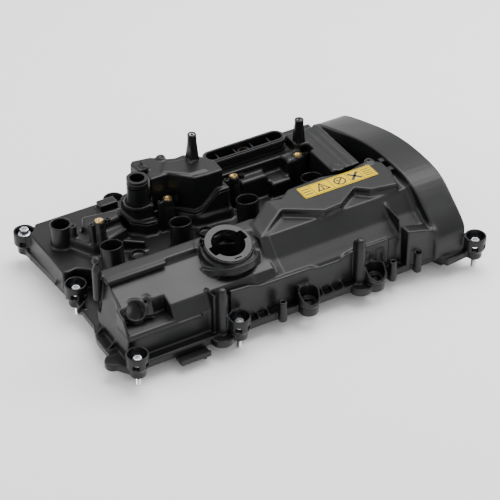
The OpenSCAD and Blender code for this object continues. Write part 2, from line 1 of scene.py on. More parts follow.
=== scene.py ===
"""A cam cover in black moulded nylon: the smooth moulding, its welded lid, ports, label and hardware.

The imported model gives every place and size. Lengths in the moulding tools are millimetres.
"""
import json
import math

import bmesh
import bpy
import numpy as np
import openvdb as vdb
from mathutils import Matrix, Vector

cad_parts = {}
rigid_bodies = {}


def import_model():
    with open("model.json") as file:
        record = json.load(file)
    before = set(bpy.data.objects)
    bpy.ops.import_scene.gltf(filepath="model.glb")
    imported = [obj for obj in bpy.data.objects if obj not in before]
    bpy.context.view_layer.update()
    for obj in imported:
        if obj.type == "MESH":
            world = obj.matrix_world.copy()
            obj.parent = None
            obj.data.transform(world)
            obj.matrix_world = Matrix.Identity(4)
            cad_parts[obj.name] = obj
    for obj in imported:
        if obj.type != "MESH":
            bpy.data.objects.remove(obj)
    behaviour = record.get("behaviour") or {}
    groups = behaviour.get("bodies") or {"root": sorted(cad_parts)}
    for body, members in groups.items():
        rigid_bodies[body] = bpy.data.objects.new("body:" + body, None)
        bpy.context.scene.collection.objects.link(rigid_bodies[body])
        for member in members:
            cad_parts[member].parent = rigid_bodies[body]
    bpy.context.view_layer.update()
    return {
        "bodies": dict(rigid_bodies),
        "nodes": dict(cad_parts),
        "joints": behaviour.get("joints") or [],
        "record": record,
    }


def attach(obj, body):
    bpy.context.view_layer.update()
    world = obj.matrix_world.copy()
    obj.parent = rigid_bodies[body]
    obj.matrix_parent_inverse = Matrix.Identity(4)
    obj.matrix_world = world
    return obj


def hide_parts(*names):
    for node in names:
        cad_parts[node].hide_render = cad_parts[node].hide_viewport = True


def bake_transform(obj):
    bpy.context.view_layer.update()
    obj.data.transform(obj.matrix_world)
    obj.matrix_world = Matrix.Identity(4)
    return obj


bl_info = {
    "name": "Cam cover builder",
    "version": (1, 0, 0),
    "blender": (4, 5, 0),
    "location": "View3D > Sidebar > Cam cover",
    "description": "Builds the moulding, lid, ports, label and hardware of a cam cover on its packed frame",
    "category": "Object",
}

FRAME = {}
# Lengths are millimetres in design coordinates, as in the CAD source
PITCH = 91.0  # from one plug tube to the next
RIM = 72.0  # height of the plug tubes' rims
LEAN = math.radians(9)  # of the plug tubes, to the front
SHIFT = RIM * math.tan(LEAN)  # from a design Y to the row frame's Y
BAND = 10.0  # the distance field reaches this far from a surface
COIL_SCREW = (6.1, 42.9, 76.9)  # from its own plug tube
FILLER, FILLER_LEAN = (108, -78, 62), math.radians(15)
NECK = (66, 59)
SENSOR, SENSOR_TURN, SENSOR_TILT = (-23, -103, 54), math.radians(-12), math.radians(48)
SCREW_SEATS = ((-55, 127, 9), (-46.5, 3.5, 0), (-43, -145, 0), (88, -145, 0), (410, -155, 0), (69, 133, 0),
               (240, 133, 0), (412, 92, 0))
LABEL_FRONT = -58.5
FLOOR_Z = 33  # the valley floor, below its steps
FRONT_WALL = -127
REAR_WALL = 132
RAIL_FOOT = 6  # gussets start inside the rail
SHELLS = ("front_gallery", "label_deck", "coil_valley", "rear_deck", "rear_box", "channel_floor")
FITTINGS = ("rail_front", "rail_rear", "rail_left", "rail_right", "plug_tubes", "coil_bosses", "sensor_seat",
            "round_socket", "filler_neck")


# ---- distance shapes ----

class Shape:
    """A solid given by its box and its signed distance, in millimetres."""

    def __init__(self, low, high, at):
        self.low = np.array(low, float)
        self.high = np.array(high, float)
        self.at = at


def join(a, b, blend):
    """The smooth union of two distances."""
    if blend <= 0:
        return np.minimum(a, b)
    h = np.maximum(blend - np.abs(a - b), 0.0) / blend
    return np.minimum(a, b) - h * h * blend * 0.25


def rounded(u, v, soft):
    """The distance of a solid bounded by u < 0 and v < 0, with its edge rounded by soft."""
    u, v = u + soft, v + soft
    out = np.sqrt(np.maximum(u, 0.0) ** 2 + np.maximum(v, 0.0) ** 2)
    return out + np.minimum(np.maximum(u, v), 0.0) - soft


def outline_distance(outline, u, v):
    """The signed distance to a closed outline of corners."""
    best, inside = None, None
    for k, (x1, y1) in enumerate(outline):
        x0, y0 = outline[k - 1]
        ex, ey = x1 - x0, y1 - y0
        wx, wy = u - x0, v - y0
        t = np.clip((wx * ex + wy * ey) / (ex * ex + ey * ey), 0.0, 1.0)
        d = (wx - ex * t) ** 2 + (wy - ey * t) ** 2
        crossed = ((y0 <= v) != (y1 <= v)) & (u < x0 + wy * ex / (ey if ey else 1e-9))
        best = d if best is None else np.minimum(best, d)
        inside = crossed if inside is None else inside ^ crossed
    return np.where(inside, -1.0, 1.0) * np.sqrt(best)


def block(low, high, soft=1.0):
    """A box with rounded edges."""
    mid, half = (np.array(low) + high) / 2, (np.array(high) - low) / 2

    def at(x, y, z):
        q = [np.abs(p - m) - h + soft for p, m, h in zip((x, y, z), mid, half)]
        out = np.sqrt(sum(np.maximum(w, 0.0) ** 2 for w in q))
        return out + np.minimum(np.maximum(np.maximum(q[0], q[1]), q[2]), 0.0) - soft
    return Shape(low, high, at)


def slab(outline, foot, top, soft=1.5, draft=0.0, along="z"):
    """A prism over an outline, with rounded edges. Its walls lean in by draft per millimetre of height."""
    axis = "xyz".index(along)
    flat = [i for i in range(3) if i != axis]
    low, high = np.zeros(3), np.zeros(3)
    for i, side in zip(flat, (0, 1)):
        low[i], high[i] = min(p[side] for p in outline), max(p[side] for p in outline)
    low[axis], high[axis] = foot, top

    def at(*p):
        h = p[axis]
        wall = outline_distance(outline, p[flat[0]], p[flat[1]]) + (h - foot) * draft
        return rounded(wall, np.abs(h - (foot + top) / 2) - (top - foot) / 2, soft)
    return Shape(low, high, at)


def rod(a, b, ra, rb=None, soft=0.5):
    """A round bar or cone from a to b."""
    a, b = np.array(a, float), np.array(b, float)
    rb = ra if rb is None else rb
    length = np.linalg.norm(b - a)
    axis, big = (b - a) / length, max(ra, rb)

    def at(x, y, z):
        wx, wy, wz = x - a[0], y - a[1], z - a[2]
        t = wx * axis[0] + wy * axis[1] + wz * axis[2]
        q = np.sqrt(np.maximum(wx * wx + wy * wy + wz * wz - t * t, 0.0))
        r = ra + (rb - ra) * np.clip(t / length, 0.0, 1.0)
        return rounded(q - r, np.abs(t - length / 2) - length / 2, soft)
    return Shape(np.minimum(a, b) - big, np.maximum(a, b) + big, at)


def less(a, b, blend=0.0):
    """Shape a without shape b."""
    return Shape(a.low, a.high, lambda x, y, z: -join(-a.at(x, y, z), b.at(x, y, z), blend))


def wall(a, b, foot, top_a, top_b, thick=2.5, soft=0.8):
    """An upright wall from plan point a to b whose top edge runs from top_a to top_b."""
    a, b = np.array(a, float), np.array(b, float)
    run = np.linalg.norm(b - a)
    u = (b - a) / run

    def at(x, y, z):
        s = (x - a[0]) * u[0] + (y - a[1]) * u[1]
        t = (y - a[1]) * u[0] - (x - a[0]) * u[1]
        top = top_a + (top_b - top_a) * np.clip(s / run, 0.0, 1.0)
        ends = np.maximum(np.abs(s - run / 2) - run / 2, np.maximum(z - top, foot - z))
        return rounded(np.abs(t) - thick / 2, ends, soft)
    low = list(np.minimum(a, b) - thick) + [foot]
    return Shape(low, list(np.maximum(a, b) + thick) + [max(top_a, top_b)], at)


def loft(first, last, x0, x1, thick):
    """A wall whose (y, z) outline turns smoothly from first to last along X."""
    def at(x, y, z):
        t = np.clip((x - x0) / (x1 - x0), 0.0, 1.0)
        d = (1 - t) * outline_distance(first, y, z) + t * outline_distance(last, y, z)
        return rounded(np.maximum(d, -(d + thick)), np.abs(x - (x0 + x1) / 2) - (x1 - x0) / 2, 0.5)
    both = list(first) + list(last)
    return Shape((x0, min(p[0] for p in both), min(p[1] for p in both)),
                 (x1, max(p[0] for p in both), max(p[1] for p in both)), at)


def placed(shape, matrix):
    """A shape moved by a matrix."""
    back = matrix.inverted()
    corners = [matrix @ Vector((x, y, z)) for x in (shape.low[0], shape.high[0])
               for y in (shape.low[1], shape.high[1]) for z in (shape.low[2], shape.high[2])]

    def at(x, y, z):
        p = [back[i][0] * x + back[i][1] * y + back[i][2] * z + back[i][3] for i in range(3)]
        return shape.at(*p)
    return Shape(np.min(corners, axis=0), np.max(corners, axis=0), at)


def smooth_outline(points, steps=4):
    """A closed smooth curve through a few corners."""
    out, n = [], len(points)
    for k in range(n):
        p0, p1, p2, p3 = (np.array(points[(k + i - 1) % n], float) for i in range(4))
        for j in range(steps):
            t = j / steps
            out.append(tuple(0.5 * (2 * p1 + (p2 - p0) * t + (2 * p0 - 5 * p1 + 4 * p2 - p3) * t * t
                                    + (3 * p1 - p0 - 3 * p2 + p3) * t ** 3)))
    return out


# ---- the mould ----

class Mould:
    """A distance field over a box, in design millimetres, from which one closed smooth mesh is cast."""

    def __init__(self, low, high, step):
        self.low, self.step = np.array(low, float), step
        self.size = np.ceil((np.array(high) - self.low) / step).astype(int) + 1
        self.field = np.full(self.size, BAND, np.float32)

    def window(self, low, high, margin):
        a = np.maximum(np.floor((np.array(low) - margin - self.low) / self.step).astype(int), 0)
        b = np.minimum(np.ceil((np.array(high) + margin - self.low) / self.step).astype(int) + 1, self.size)
        grid = []
        for i in range(3):
            line = (self.low[i] + self.step * np.arange(a[i], b[i], dtype=np.float32)).astype(np.float32)
            grid.append(line.reshape([-1 if j == i else 1 for j in range(3)]))
        return tuple(slice(p, q) for p, q in zip(a, b)), grid

    def add(self, shape, blend=2.0):
        spot, grid = self.window(shape.low, shape.high, max(blend, 3.0) + 2 * self.step)
        self.field[spot] = join(self.field[spot], np.clip(shape.at(*grid), -BAND, BAND), blend)

    def cut(self, shape, blend=1.0):
        spot, grid = self.window(shape.low, shape.high, max(blend, 3.0) + 2 * self.step)
        self.field[spot] = -join(-self.field[spot], np.clip(shape.at(*grid), -BAND, BAND), blend)

    def add_node(self, name, blend=2.0):
        """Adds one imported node, blended into what is there."""
        points, tris = node_triangles(name)
        low, high = points.min(axis=0), points.max(axis=0)
        spot, _grid = self.window(low, high, BAND)
        start = [s.start for s in spot]
        level = vdb.FloatGrid.createLevelSetFromPolygons(
            ((points - self.low) / self.step).astype(np.float32), triangles=tris.astype(np.uint32),
            transform=vdb.createLinearTransform(voxelSize=1.0), halfWidth=BAND / self.step)
        local = np.empty(self.field[spot].shape, np.float32)
        level.copyToArray(local, ijk=tuple(int(i) for i in start))
        self.field[spot] = join(self.field[spot], np.clip(local * self.step, -BAND, BAND), blend)

    def soften(self, passes):
        for _ in range(passes):
            for axis in range(3):
                f = np.moveaxis(self.field, axis, 0)
                mid = f[1:-1] * 0.5 + (f[:-2] + f[2:]) * 0.25
                f[1:-1] = mid

    def cast(self, name, limit):
        """One closed mesh object in the row frame, with at most limit triangles and normals from the field."""
        grid = vdb.FloatGrid(BAND)
        grid.copyFromArray(self.field)
        points, tris, quads = grid.convertToPolygons(isovalue=0.0, adaptivity=0.0)
        faces = [q for q in (tris, quads) if len(q)]
        mesh = bpy.data.meshes.new(name)
        mesh.vertices.add(len(points))
        mesh.vertices.foreach_set("co", points.astype(np.float32).ravel())
        counts = np.concatenate([np.full(len(q), q.shape[1]) for q in faces])
        mesh.loops.add(int(counts.sum()))
        mesh.loops.foreach_set("vertex_index", np.concatenate([q.ravel() for q in faces]).astype(np.int32))
        mesh.polygons.add(len(counts))
        starts = np.concatenate([[0], np.cumsum(counts)[:-1]])
        mesh.polygons.foreach_set("loop_start", starts.astype(np.int32))
        mesh.update(calc_edges=True)
        mesh.validate()
        obj = link(name, mesh)
        total = int((counts - 2).sum())
        if total > limit:
            thin = obj.modifiers.new("Fewer", "DECIMATE")
            thin.ratio = limit / total
        obj = applied(obj)
        mesh = obj.data
        co = np.empty(len(mesh.vertices) * 3, np.float32)
        mesh.vertices.foreach_get("co", co)
        co = co.reshape(-1, 3)
        normals = self.slope(co)
        world = (co * self.step + self.low + np.array([0.0, SHIFT, 0.0])) / 1000
        mesh.vertices.foreach_set("co", world.astype(np.float32).ravel())
        if signed_volume(mesh) < 0:
            mesh.flip_normals()
        for p in mesh.polygons:
            p.use_smooth = True
        mesh.normals_split_custom_set_from_vertices(normals)
        mesh.update()
        return obj

    def slope(self, points):
        """Outward unit normals of the field at grid points."""
        def sample(p):
            p = np.clip(p, 0, np.array(self.size) - 1.001)
            i = p.astype(int)
            f, value = p - i, 0.0
            for corner in range(8):
                o = [(corner >> k) & 1 for k in range(3)]
                w = np.prod([f[:, k] if o[k] else 1 - f[:, k] for k in range(3)], axis=0)
                value = value + w * self.field[i[:, 0] + o[0], i[:, 1] + o[1], i[:, 2] + o[2]]
            return value
        g = np.stack([sample(points + 0.6 * e) - sample(points - 0.6 * e) for e in np.eye(3)], axis=1)
        return g / np.maximum(np.linalg.norm(g, axis=1, keepdims=True), 1e-6)


def signed_volume(mesh):
    """The sign of a closed mesh's volume, positive when its faces look outward."""
    mesh.calc_loop_triangles()
    tri = np.empty(len(mesh.loop_triangles) * 3, np.int32)
    mesh.loop_triangles.foreach_get("vertices", tri)
    co = np.empty(len(mesh.vertices) * 3, np.float32)
    mesh.vertices.foreach_get("co", co)
    p = co.reshape(-1, 3)[tri].reshape(-1, 3, 3).astype(np.float64)
    return float(np.einsum("ij,ij->i", p[:, 0], np.cross(p[:, 1], p[:, 2])).sum())


def node_triangles(name):
    """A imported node's corners, in design millimetres, and its triangles."""
    if name not in FRAME["nodes"]:
        raise RuntimeError("the frame has no node " + name)
    bm = bmesh.new()
    bm.from_mesh(FRAME["nodes"][name].data)
    bmesh.ops.remove_doubles(bm, verts=bm.verts, dist=1e-6)
    bmesh.ops.triangulate(bm, faces=bm.faces)
    points = np.array([v.co[:] for v in bm.verts]) * 1000 - np.array([0.0, SHIFT, 0.0])
    tris = np.array([[v.index for v in f.verts] for f in bm.faces])
    bm.free()
    return points, tris


# ---- mesh helpers ----

def link(name, mesh):
    obj = bpy.data.objects.new(name, mesh)
    bpy.context.scene.collection.objects.link(obj)
    return obj


def applied(obj):
    """The object with its modifiers made real."""
    graph = bpy.context.evaluated_depsgraph_get()
    mesh = bpy.data.meshes.new_from_object(obj.evaluated_get(graph))
    old, name = obj.data, obj.name
    bpy.data.objects.remove(obj)
    bpy.data.meshes.remove(old)
    mesh.name = name
    return link(name, mesh)


def from_bmesh(name, bm, smooth=True):
    bmesh.ops.recalc_face_normals(bm, faces=bm.faces)
    mesh = bpy.data.meshes.new(name)
    bm.to_mesh(mesh)
    bm.free()
    for p in mesh.polygons:
        p.use_smooth = smooth
    return link(name, mesh)


def lathe(profile, sides=48):
    """A bmesh turned about Z from (radius, height) corners in millimetres, listed round the section."""
    bm = bmesh.new()
    rings = []
    for r, z in profile:
        rings.append([bm.verts.new((r * math.cos(a), r * math.sin(a), z)) for a in
                      [2 * math.pi * k / sides for k in range(sides)]] if r > 1e-6 else
                     [bm.verts.new((0, 0, z))])
    closed = profile[0][0] > 1e-6 and profile[-1][0] > 1e-6
    pairs = list(zip(rings, rings[1:])) + ([(rings[-1], rings[0])] if closed else [])
    for a, b in pairs:
        for k in range(sides):
            j = (k + 1) % sides
            if len(a) == 1:
                bm.faces.new((a[0], b[k], b[j]))
            elif len(b) == 1:
                bm.faces.new((a[k], b[0], a[j]))
            else:
                bm.faces.new((a[k], b[k], b[j], a[j]))
    return bm


def plate(bm, outline, low, high):
    """Adds an upright prism over an outline to bm."""
    foot = [bm.verts.new((x, y, low)) for x, y in outline]
    top = [bm.verts.new((x, y, high)) for x, y in outline]
    bm.faces.new(foot[::-1])
    bm.faces.new(top)
    for k in range(len(outline)):
        bm.faces.new((foot[k - 1], foot[k], top[k], top[k - 1]))


def keep_crisp(obj, angle=35.0):
    """Smooth shading that keeps edges sharper than angle, in degrees."""
    mesh = obj.data
    for p in mesh.polygons:
        p.use_smooth = True
    mesh.set_sharp_from_angle(angle=math.radians(angle))


def scale_to_row(obj, matrix=None):
    """Moves a mesh built in design millimetres to the row frame."""
    move = Matrix.Translation((0, SHIFT / 1000, 0)) @ Matrix.Scale(0.001, 4)
    obj.data.transform(move @ (matrix or Matrix()))
    obj.data.update()


def finish_piece(obj, body, slot, material, *nodes):
    """Gives a piece its body and material, and hides the nodes that it stands for. Its slot argument is not
    used.
    """
    obj.data.materials.clear()
    obj.data.materials.append(material)
    if nodes:
        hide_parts(*nodes)
    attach(obj, body)


# ---- materials ----

def new_group(name, inputs, outputs):
    group = bpy.data.node_groups.new(name, "ShaderNodeTree")
    for label, kind, value in inputs:
        s = group.interface.new_socket(label, in_out="INPUT", socket_type=kind)
        s.default_value = value
    for label, kind in outputs:
        group.interface.new_socket(label, in_out="OUTPUT", socket_type=kind)
    return group, group.nodes.new("NodeGroupInput"), group.nodes.new("NodeGroupOutput")


def skin_group():
    """Moulded skin: a fine grain, slow gloss changes and a thin dust on what faces up."""
    if "Moulded skin" in bpy.data.node_groups:
        return bpy.data.node_groups["Moulded skin"]
    g, inside, outside = new_group("Moulded skin", [
        ("Color", "NodeSocketColor", (0.02, 0.02, 0.022, 1)), ("Roughness", "NodeSocketFloat", 0.42),
        ("Grain", "NodeSocketFloat", 2600.0), ("Depth", "NodeSocketFloat", 0.08),
        ("Dust", "NodeSocketFloat", 0.12)],
        [("Color", "NodeSocketColor"), ("Roughness", "NodeSocketFloat"), ("Normal", "NodeSocketVector")])
    n, link_up = g.nodes, g.links.new
    place = n.new("ShaderNodeTexCoord")
    fine = n.new("ShaderNodeTexNoise")
    fine.inputs["Detail"].default_value = 3
    slow = n.new("ShaderNodeTexNoise")
    slow.inputs["Scale"].default_value = 22
    slow.inputs["Detail"].default_value = 4
    link_up(place.outputs["Object"], fine.inputs["Vector"])
    link_up(place.outputs["Object"], slow.inputs["Vector"])
    link_up(inside.outputs["Grain"], fine.inputs["Scale"])
    bump = n.new("ShaderNodeBump")
    bump.inputs["Distance"].default_value = 0.00004
    link_up(fine.outputs["Fac"], bump.inputs["Height"])
    link_up(inside.outputs["Depth"], bump.inputs["Strength"])
    spread = n.new("ShaderNodeMapRange")
    spread.inputs["To Min"].default_value = -0.06
    spread.inputs["To Max"].default_value = 0.08
    link_up(slow.outputs["Fac"], spread.inputs["Value"])
    gloss = n.new("ShaderNodeMath")
    gloss.operation = "ADD"
    link_up(inside.outputs["Roughness"], gloss.inputs[0])
    link_up(spread.outputs["Result"], gloss.inputs[1])
    geo = n.new("ShaderNodeNewGeometry")
    split = n.new("ShaderNodeSeparateXYZ")
    link_up(geo.outputs["Normal"], split.inputs["Vector"])
    up = n.new("ShaderNodeMath")
    up.operation = "MULTIPLY"
    up.use_clamp = True
    link_up(split.outputs["Z"], up.inputs[0])
    link_up(slow.outputs["Fac"], up.inputs[1])
    amount = n.new("ShaderNodeMath")
    amount.operation = "MULTIPLY"
    link_up(up.outputs["Value"], amount.inputs[0])
    link_up(inside.outputs["Dust"], amount.inputs[1])
    mix = n.new("ShaderNodeMix")
    mix.data_type = "RGBA"
    mix.inputs["B"].default_value = (0.16, 0.155, 0.15, 1)
    link_up(amount.outputs["Value"], mix.inputs["Factor"])
    link_up(inside.outputs["Color"], mix.inputs["A"])
    link_up(mix.outputs["Result"], outside.inputs["Color"])
    link_up(gloss.outputs["Value"], outside.inputs["Roughness"])
    link_up(bump.outputs["Normal"], outside.inputs["Normal"])
    return g


def material(name, color, roughness, metal=0.0, grain=2600.0, depth=0.08, dust=0.1, coat=0.0, gloss=0.5):
    """A principled material whose colour, gloss and fine relief pass through the moulded skin group."""
    if name in bpy.data.materials:
        return bpy.data.materials[name]
    m = bpy.data.materials.new(name)
    m.use_nodes = True
    shader = m.node_tree.nodes["Principled BSDF"]
    skin = m.node_tree.nodes.new("ShaderNodeGroup")
    skin.node_tree = skin_group()
    skin.inputs["Color"].default_value = (*color, 1)
    skin.inputs["Roughness"].default_value = roughness
    skin.inputs["Grain"].default_value = grain
    skin.inputs["Depth"].default_value = depth
    skin.inputs["Dust"].default_value = dust
    for out, to in (("Color", "Base Color"), ("Roughness", "Roughness"), ("Normal", "Normal")):
        m.node_tree.links.new(skin.outputs[out], shader.inputs[to])
    shader.inputs["Metallic"].default_value = metal
    shader.inputs["Coat Weight"].default_value = coat
    shader.inputs["Coat Roughness"].default_value = 0.2
    shader.inputs["Specular IOR Level"].default_value = gloss
    m.diffuse_color = (*color, 1)
    return m


def finishes():
    """Every material slot's finish."""
    return {
        "black_nylon": material("Black nylon", (0.0045, 0.0047, 0.0052), 0.34, depth=0.12, dust=0.02,
                                gloss=0.3),
        "zinc_steel": material("Zinc plate", (0.72, 0.74, 0.77), 0.28, metal=1.0, grain=900, dust=0.0),
        "spring_steel": material("Spring steel", (0.6, 0.6, 0.6), 0.25, metal=1.0, grain=900, dust=0.0),
        "dark_steel": material("Black oxide steel", (0.05, 0.05, 0.055), 0.35, metal=1.0, grain=900,
                               dust=0.0),
        "brass": material("Turned brass", (0.78, 0.55, 0.24), 0.3, metal=1.0, grain=900, dust=0.0),
        "black_rubber": material("Black rubber", (0.012, 0.012, 0.012), 0.6),
        "green_rubber": material("Green rubber", (0.02, 0.06, 0.03), 0.55),
        "blue_rubber": material("Blue rubber", (0.04, 0.06, 0.2), 0.5),
        "orange_rubber": material("Orange rubber", (0.5, 0.18, 0.04), 0.5),
        "yellow_label": material("Yellow film", (0.60, 0.40, 0.0), 0.6, depth=0.02, dust=0.0, gloss=0.05),
        "print": material("Black print", (0.012, 0.012, 0.012), 0.35, depth=0.02, dust=0.02),
    }


# ---- the moulding ----

def leaning(x, y, z, lean):
    """An upright axis at a design point that leans about X."""
    return Matrix.Translation((x, y, z)) @ Matrix.Rotation(-lean, 4, "X")


def open_boss(x, y, foot, top, r, r_top, soft, bore, bore_foot, bore_top, blend=0.0):
    """An upright round boss with an open bore."""
    body = rod((x, y, foot), (x, y, top), r, r_top, soft)
    return less(body, rod((x, y, bore_foot), (x, y, bore_top), bore), blend)


def valley_features(mould):
    """Steps, platforms and rings on the floor between the galleries."""
    mould.add(slab([(-26, 62), (-15, 75), (44, 66), (46, 44), (0, 30), (-10, 34)], FLOOR_Z, 50, 2.5, 0.12), 4)
    mould.add(slab([(-10, 64), (-2, 50), (44, 56), (48, 76), (0, 84)], FLOOR_Z, 60, 2.5, 0.1), 4)
    mould.add(wall((28, 28), (52, 15), FLOOR_Z, 50, 47, 5), 4)
    mould.add(slab([(125, 23), (174, 18), (176, 40), (125, 40)], FLOOR_Z, 42, 2, 0.1), 3)
    mould.add(slab([(218, 37), (277, 36), (277, 60), (218, 60)], FLOOR_Z, 42, 2, 0.1), 3)
    mould.add(slab([(196, 38), (236, 38), (236, 56), (196, 56)], FLOOR_Z, 64, 3, 0.05), 4)
    mould.add(slab([(260, 35), (289, 35), (292, 58), (260, 58)], FLOOR_Z, 75, 3, 0.04), 4)
    mould.add(slab([(234, 27), (264, 27), (264, 60), (234, 60)], FLOOR_Z, 56, 3, 0.05), 4)
    for x in (36, 127):
        mould.add(open_boss(x, 3, 30, 44, 10.5, 10, 0.8, 7.5, 38, 60, 1), 3)
    for k in range(4):
        for side in (-1, 1):
            mould.add(wall((PITCH * k + side * 13, -6), (PITCH * k + side * 20, -12), FLOOR_Z, 46, 37, 2.5), 3)


def pot_features(mould):
    """The ledge, lobes and blend of the separator's lower half."""
    ledge = smooth_outline([(104, 47), (128, 22), (152, 19), (176, 20), (176, 55), (128, 60)], 3)
    mould.add(slab(ledge, FLOOR_Z, 48, 2.5, 0.12), 4)


def deck_features(mould):
    """Two narrow grooves and two open bosses on the decks."""
    for x in (308, 318):
        mould.cut(block((x - 0.7, -18, 84.5), (x + 0.7, 46, 90), 0.4), 0.6)
    mould.add(open_boss(301, -15, 80, 86.2, 8, 8, 0.4, 6, 85.2, 90), 1)
    mould.add(open_boss(336, -29, 76, 92, 6.2, 5.5, 0.6, 2.5, 86, 99), 3)


def gallery_features(mould):
    """Raised strips, panels, gussets and ribs of the front gallery."""
    plain = [(-129, 9.5), (-129, 40), (-119, 58.5), (-69, 73), (-66, 80), (-48, 80), (-48, 33), (-60, 9.5)]
    decked = [(-129, 9.5), (-129, 48), (-107, 60), (-87, 80), (-48, 80), (-48, 33), (-60, 9.5)]
    mould.add(loft(plain, decked, 122, 160, 2.6), 2)
    filler = leaning(*FILLER, FILLER_LEAN)
    mould.add(placed(rod((0, 0, -6), (0, 0, 3.5), 41, 40, 1.0), filler), 2)
    mould.add(placed(rod((0, 0, -4), (0, 0, 7), 34.5, 33.5, 1.0), filler), 3)
    panel = [(84, 12), (84, 58), (110, 56), (124, 51), (192, 50), (204, 46), (231, 46), (246, 52),
             (300, 52), (300, 12)]
    mould.add(slab(panel, FRONT_WALL - 5, FRONT_WALL, 0.8, along="y"), 1.5)
    for x in (262, 281):
        mould.add(block((x, FRONT_WALL - 7, 24), (x + 10, FRONT_WALL + 1, 44), 1.2), 1.5)
    mould.add(block((-46, FRONT_WALL - 5, 36), (48, FRONT_WALL, 39), 1.2), 1.5)
    mould.add(block((-42, -140.5, 8.6), (362, -138.5, 10.8), 0.6), 1)
    for x in (118, 131, 205, 219, 233, 289, 343):
        mould.add(wall((x, FRONT_WALL - 13), (x, FRONT_WALL), RAIL_FOOT, 11, 22, 2.0), 1.5)
    for x in (-26, -8, 10, 28):
        mould.add(wall((x, REAR_WALL - 8), (x, REAR_WALL), RAIL_FOOT, 32, 12, 2.2), 1.5)
    mould.add(slab([(-42, -73), (34, -73), (36, -66), (74, -66), (80, -50), (-42, -50)], 76, 80.6, 1.2), 2)
    for y in (-100, -70, -20, 10, 40):
        mould.add(wall((-58, y), (-46, y), RAIL_FOOT, 11, 22, 2.2), 1.5)


def hood_features(mould):
    """Ribs of the chain hood."""
    for y in (-110, -60, 0, 50, 100):
        mould.add(wall((400, y), (412, y), RAIL_FOOT, 26, 11, 2.4), 1.5)


def lid_features(mould):
    """The dome, fins and lip of the separator lid."""
    mould.add(open_boss(113, 88, 98, 104.5, 6, 5.4, 1.0, 3.2, 103, 110), 2)
    mould.add(wall((85, 87), (87, 80), 96, 111, 103, 4, 1.2), 3)
    mould.add(wall((87, 80), (88, 74), 96, 103, 106, 4, 1.2), 3)
    mould.add(open_boss(*NECK, 68, 74.5, 17.5, 17, 0.8, 15, 72.8, 80), 2)
    mould.add(slab([(98, 60), (126, 38), (150, 36), (150, 58), (134, 72), (110, 76)], 98, 103.4, 1.2, 0.2), 2)


def cast_cover(step, limit):
    """The one-piece black moulding."""
    mould = Mould((-76, -174, -3), (432, 150, 116), step)
    for name in SHELLS:
        mould.add_node(name, 4.0)
    mould.add_node("chain_hood", 8.0)
    mould.add_node("separator_pot", 4.0)
    valley_features(mould)
    pot_features(mould)
    deck_features(mould)
    mould.soften(2 if step < 1.3 else 1)
    for name in FITTINGS:
        mould.add_node(name, 2.5)
    mould.add_node("ball_post", 2.5)
    gallery_features(mould)
    hood_features(mould)
    reopen(mould)
    mould.soften(1)
    return mould.cast("cover_moulding", limit)


def reopen(mould):
    """Clears the bores that the blends have narrowed."""
    for k in range(4):
        tube = leaning(PITCH * k, 0, RIM, LEAN)
        mould.cut(placed(rod((0, 0, -90), (0, 0, 4), 12.3), tube), 0.5)
        boss = leaning(PITCH * k + COIL_SCREW[0], *COIL_SCREW[1:], LEAN)
        mould.cut(placed(rod((0, 0, -12.2), (0, 0, 6), 5.5), boss), 0.3)
    filler = leaning(*FILLER, FILLER_LEAN)
    mould.cut(placed(rod((0, 0, -40), (0, 0, 40), 25.8), filler), 0.5)
    mould.cut(placed(rod((0, 0, 21.2), (0, 0, 40), 27.5), filler), 0.5)
    sensor = Matrix.Translation(SENSOR) @ Matrix.Rotation(SENSOR_TURN, 4, "Z")
    sensor = sensor @ Matrix.Rotation(SENSOR_TILT, 4, "X")
    mould.cut(placed(rod((0, 0, -30), (0, 0, 12), 10.1), sensor), 0.4)


def cast_lid(step, limit):
    """The welded separator lid with its post."""
    mould = Mould((40, 20, 45), (180, 112, 145), step)
    mould.add_node("separator_lid", 3.0)
    lid_features(mould)
    mould.soften(2 if step < 1.1 else 1)
    mould.add_node("lid_post", 2.5)
    mould.cut(rod((*NECK, 40), (*NECK, 90), 9), 0.5)
    mould.soften(1)
    return mould.cast("separator_lid_moulding", limit)


# ---- repeated hardware ----

def scatter_tree():
    """Copies of one piece on points, leaning about X, made real and given a material."""
    name = "Copies on points"
    if name in bpy.data.node_groups:
        return bpy.data.node_groups[name]
    g = bpy.data.node_groups.new(name, "GeometryNodeTree")
    face = g.interface
    face.new_socket("Points", in_out="INPUT", socket_type="NodeSocketGeometry")
    face.new_socket("Piece", in_out="INPUT", socket_type="NodeSocketObject")
    face.new_socket("Lean", in_out="INPUT", socket_type="NodeSocketFloat")
    face.new_socket("Material", in_out="INPUT", socket_type="NodeSocketMaterial")
    face.new_socket("Geometry", in_out="OUTPUT", socket_type="NodeSocketGeometry")
    n, join_up = g.nodes, g.links.new
    start, end = n.new("NodeGroupInput"), n.new("NodeGroupOutput")
    piece = n.new("GeometryNodeObjectInfo")
    spin = n.new("ShaderNodeCombineXYZ")
    put = n.new("GeometryNodeInstanceOnPoints")
    real = n.new("GeometryNodeRealizeInstances")
    paint = n.new("GeometryNodeSetMaterial")
    join_up(start.outputs["Points"], put.inputs["Points"])
    join_up(start.outputs["Piece"], piece.inputs["Object"])
    join_up(piece.outputs["Geometry"], put.inputs["Instance"])
    join_up(start.outputs["Lean"], spin.inputs["X"])
    join_up(spin.outputs["Vector"], put.inputs["Rotation"])
    join_up(put.outputs["Instances"], real.inputs["Geometry"])
    join_up(real.outputs["Geometry"], paint.inputs["Geometry"])
    join_up(start.outputs["Material"], paint.inputs["Material"])
    join_up(paint.outputs["Geometry"], end.inputs["Geometry"])
    return g


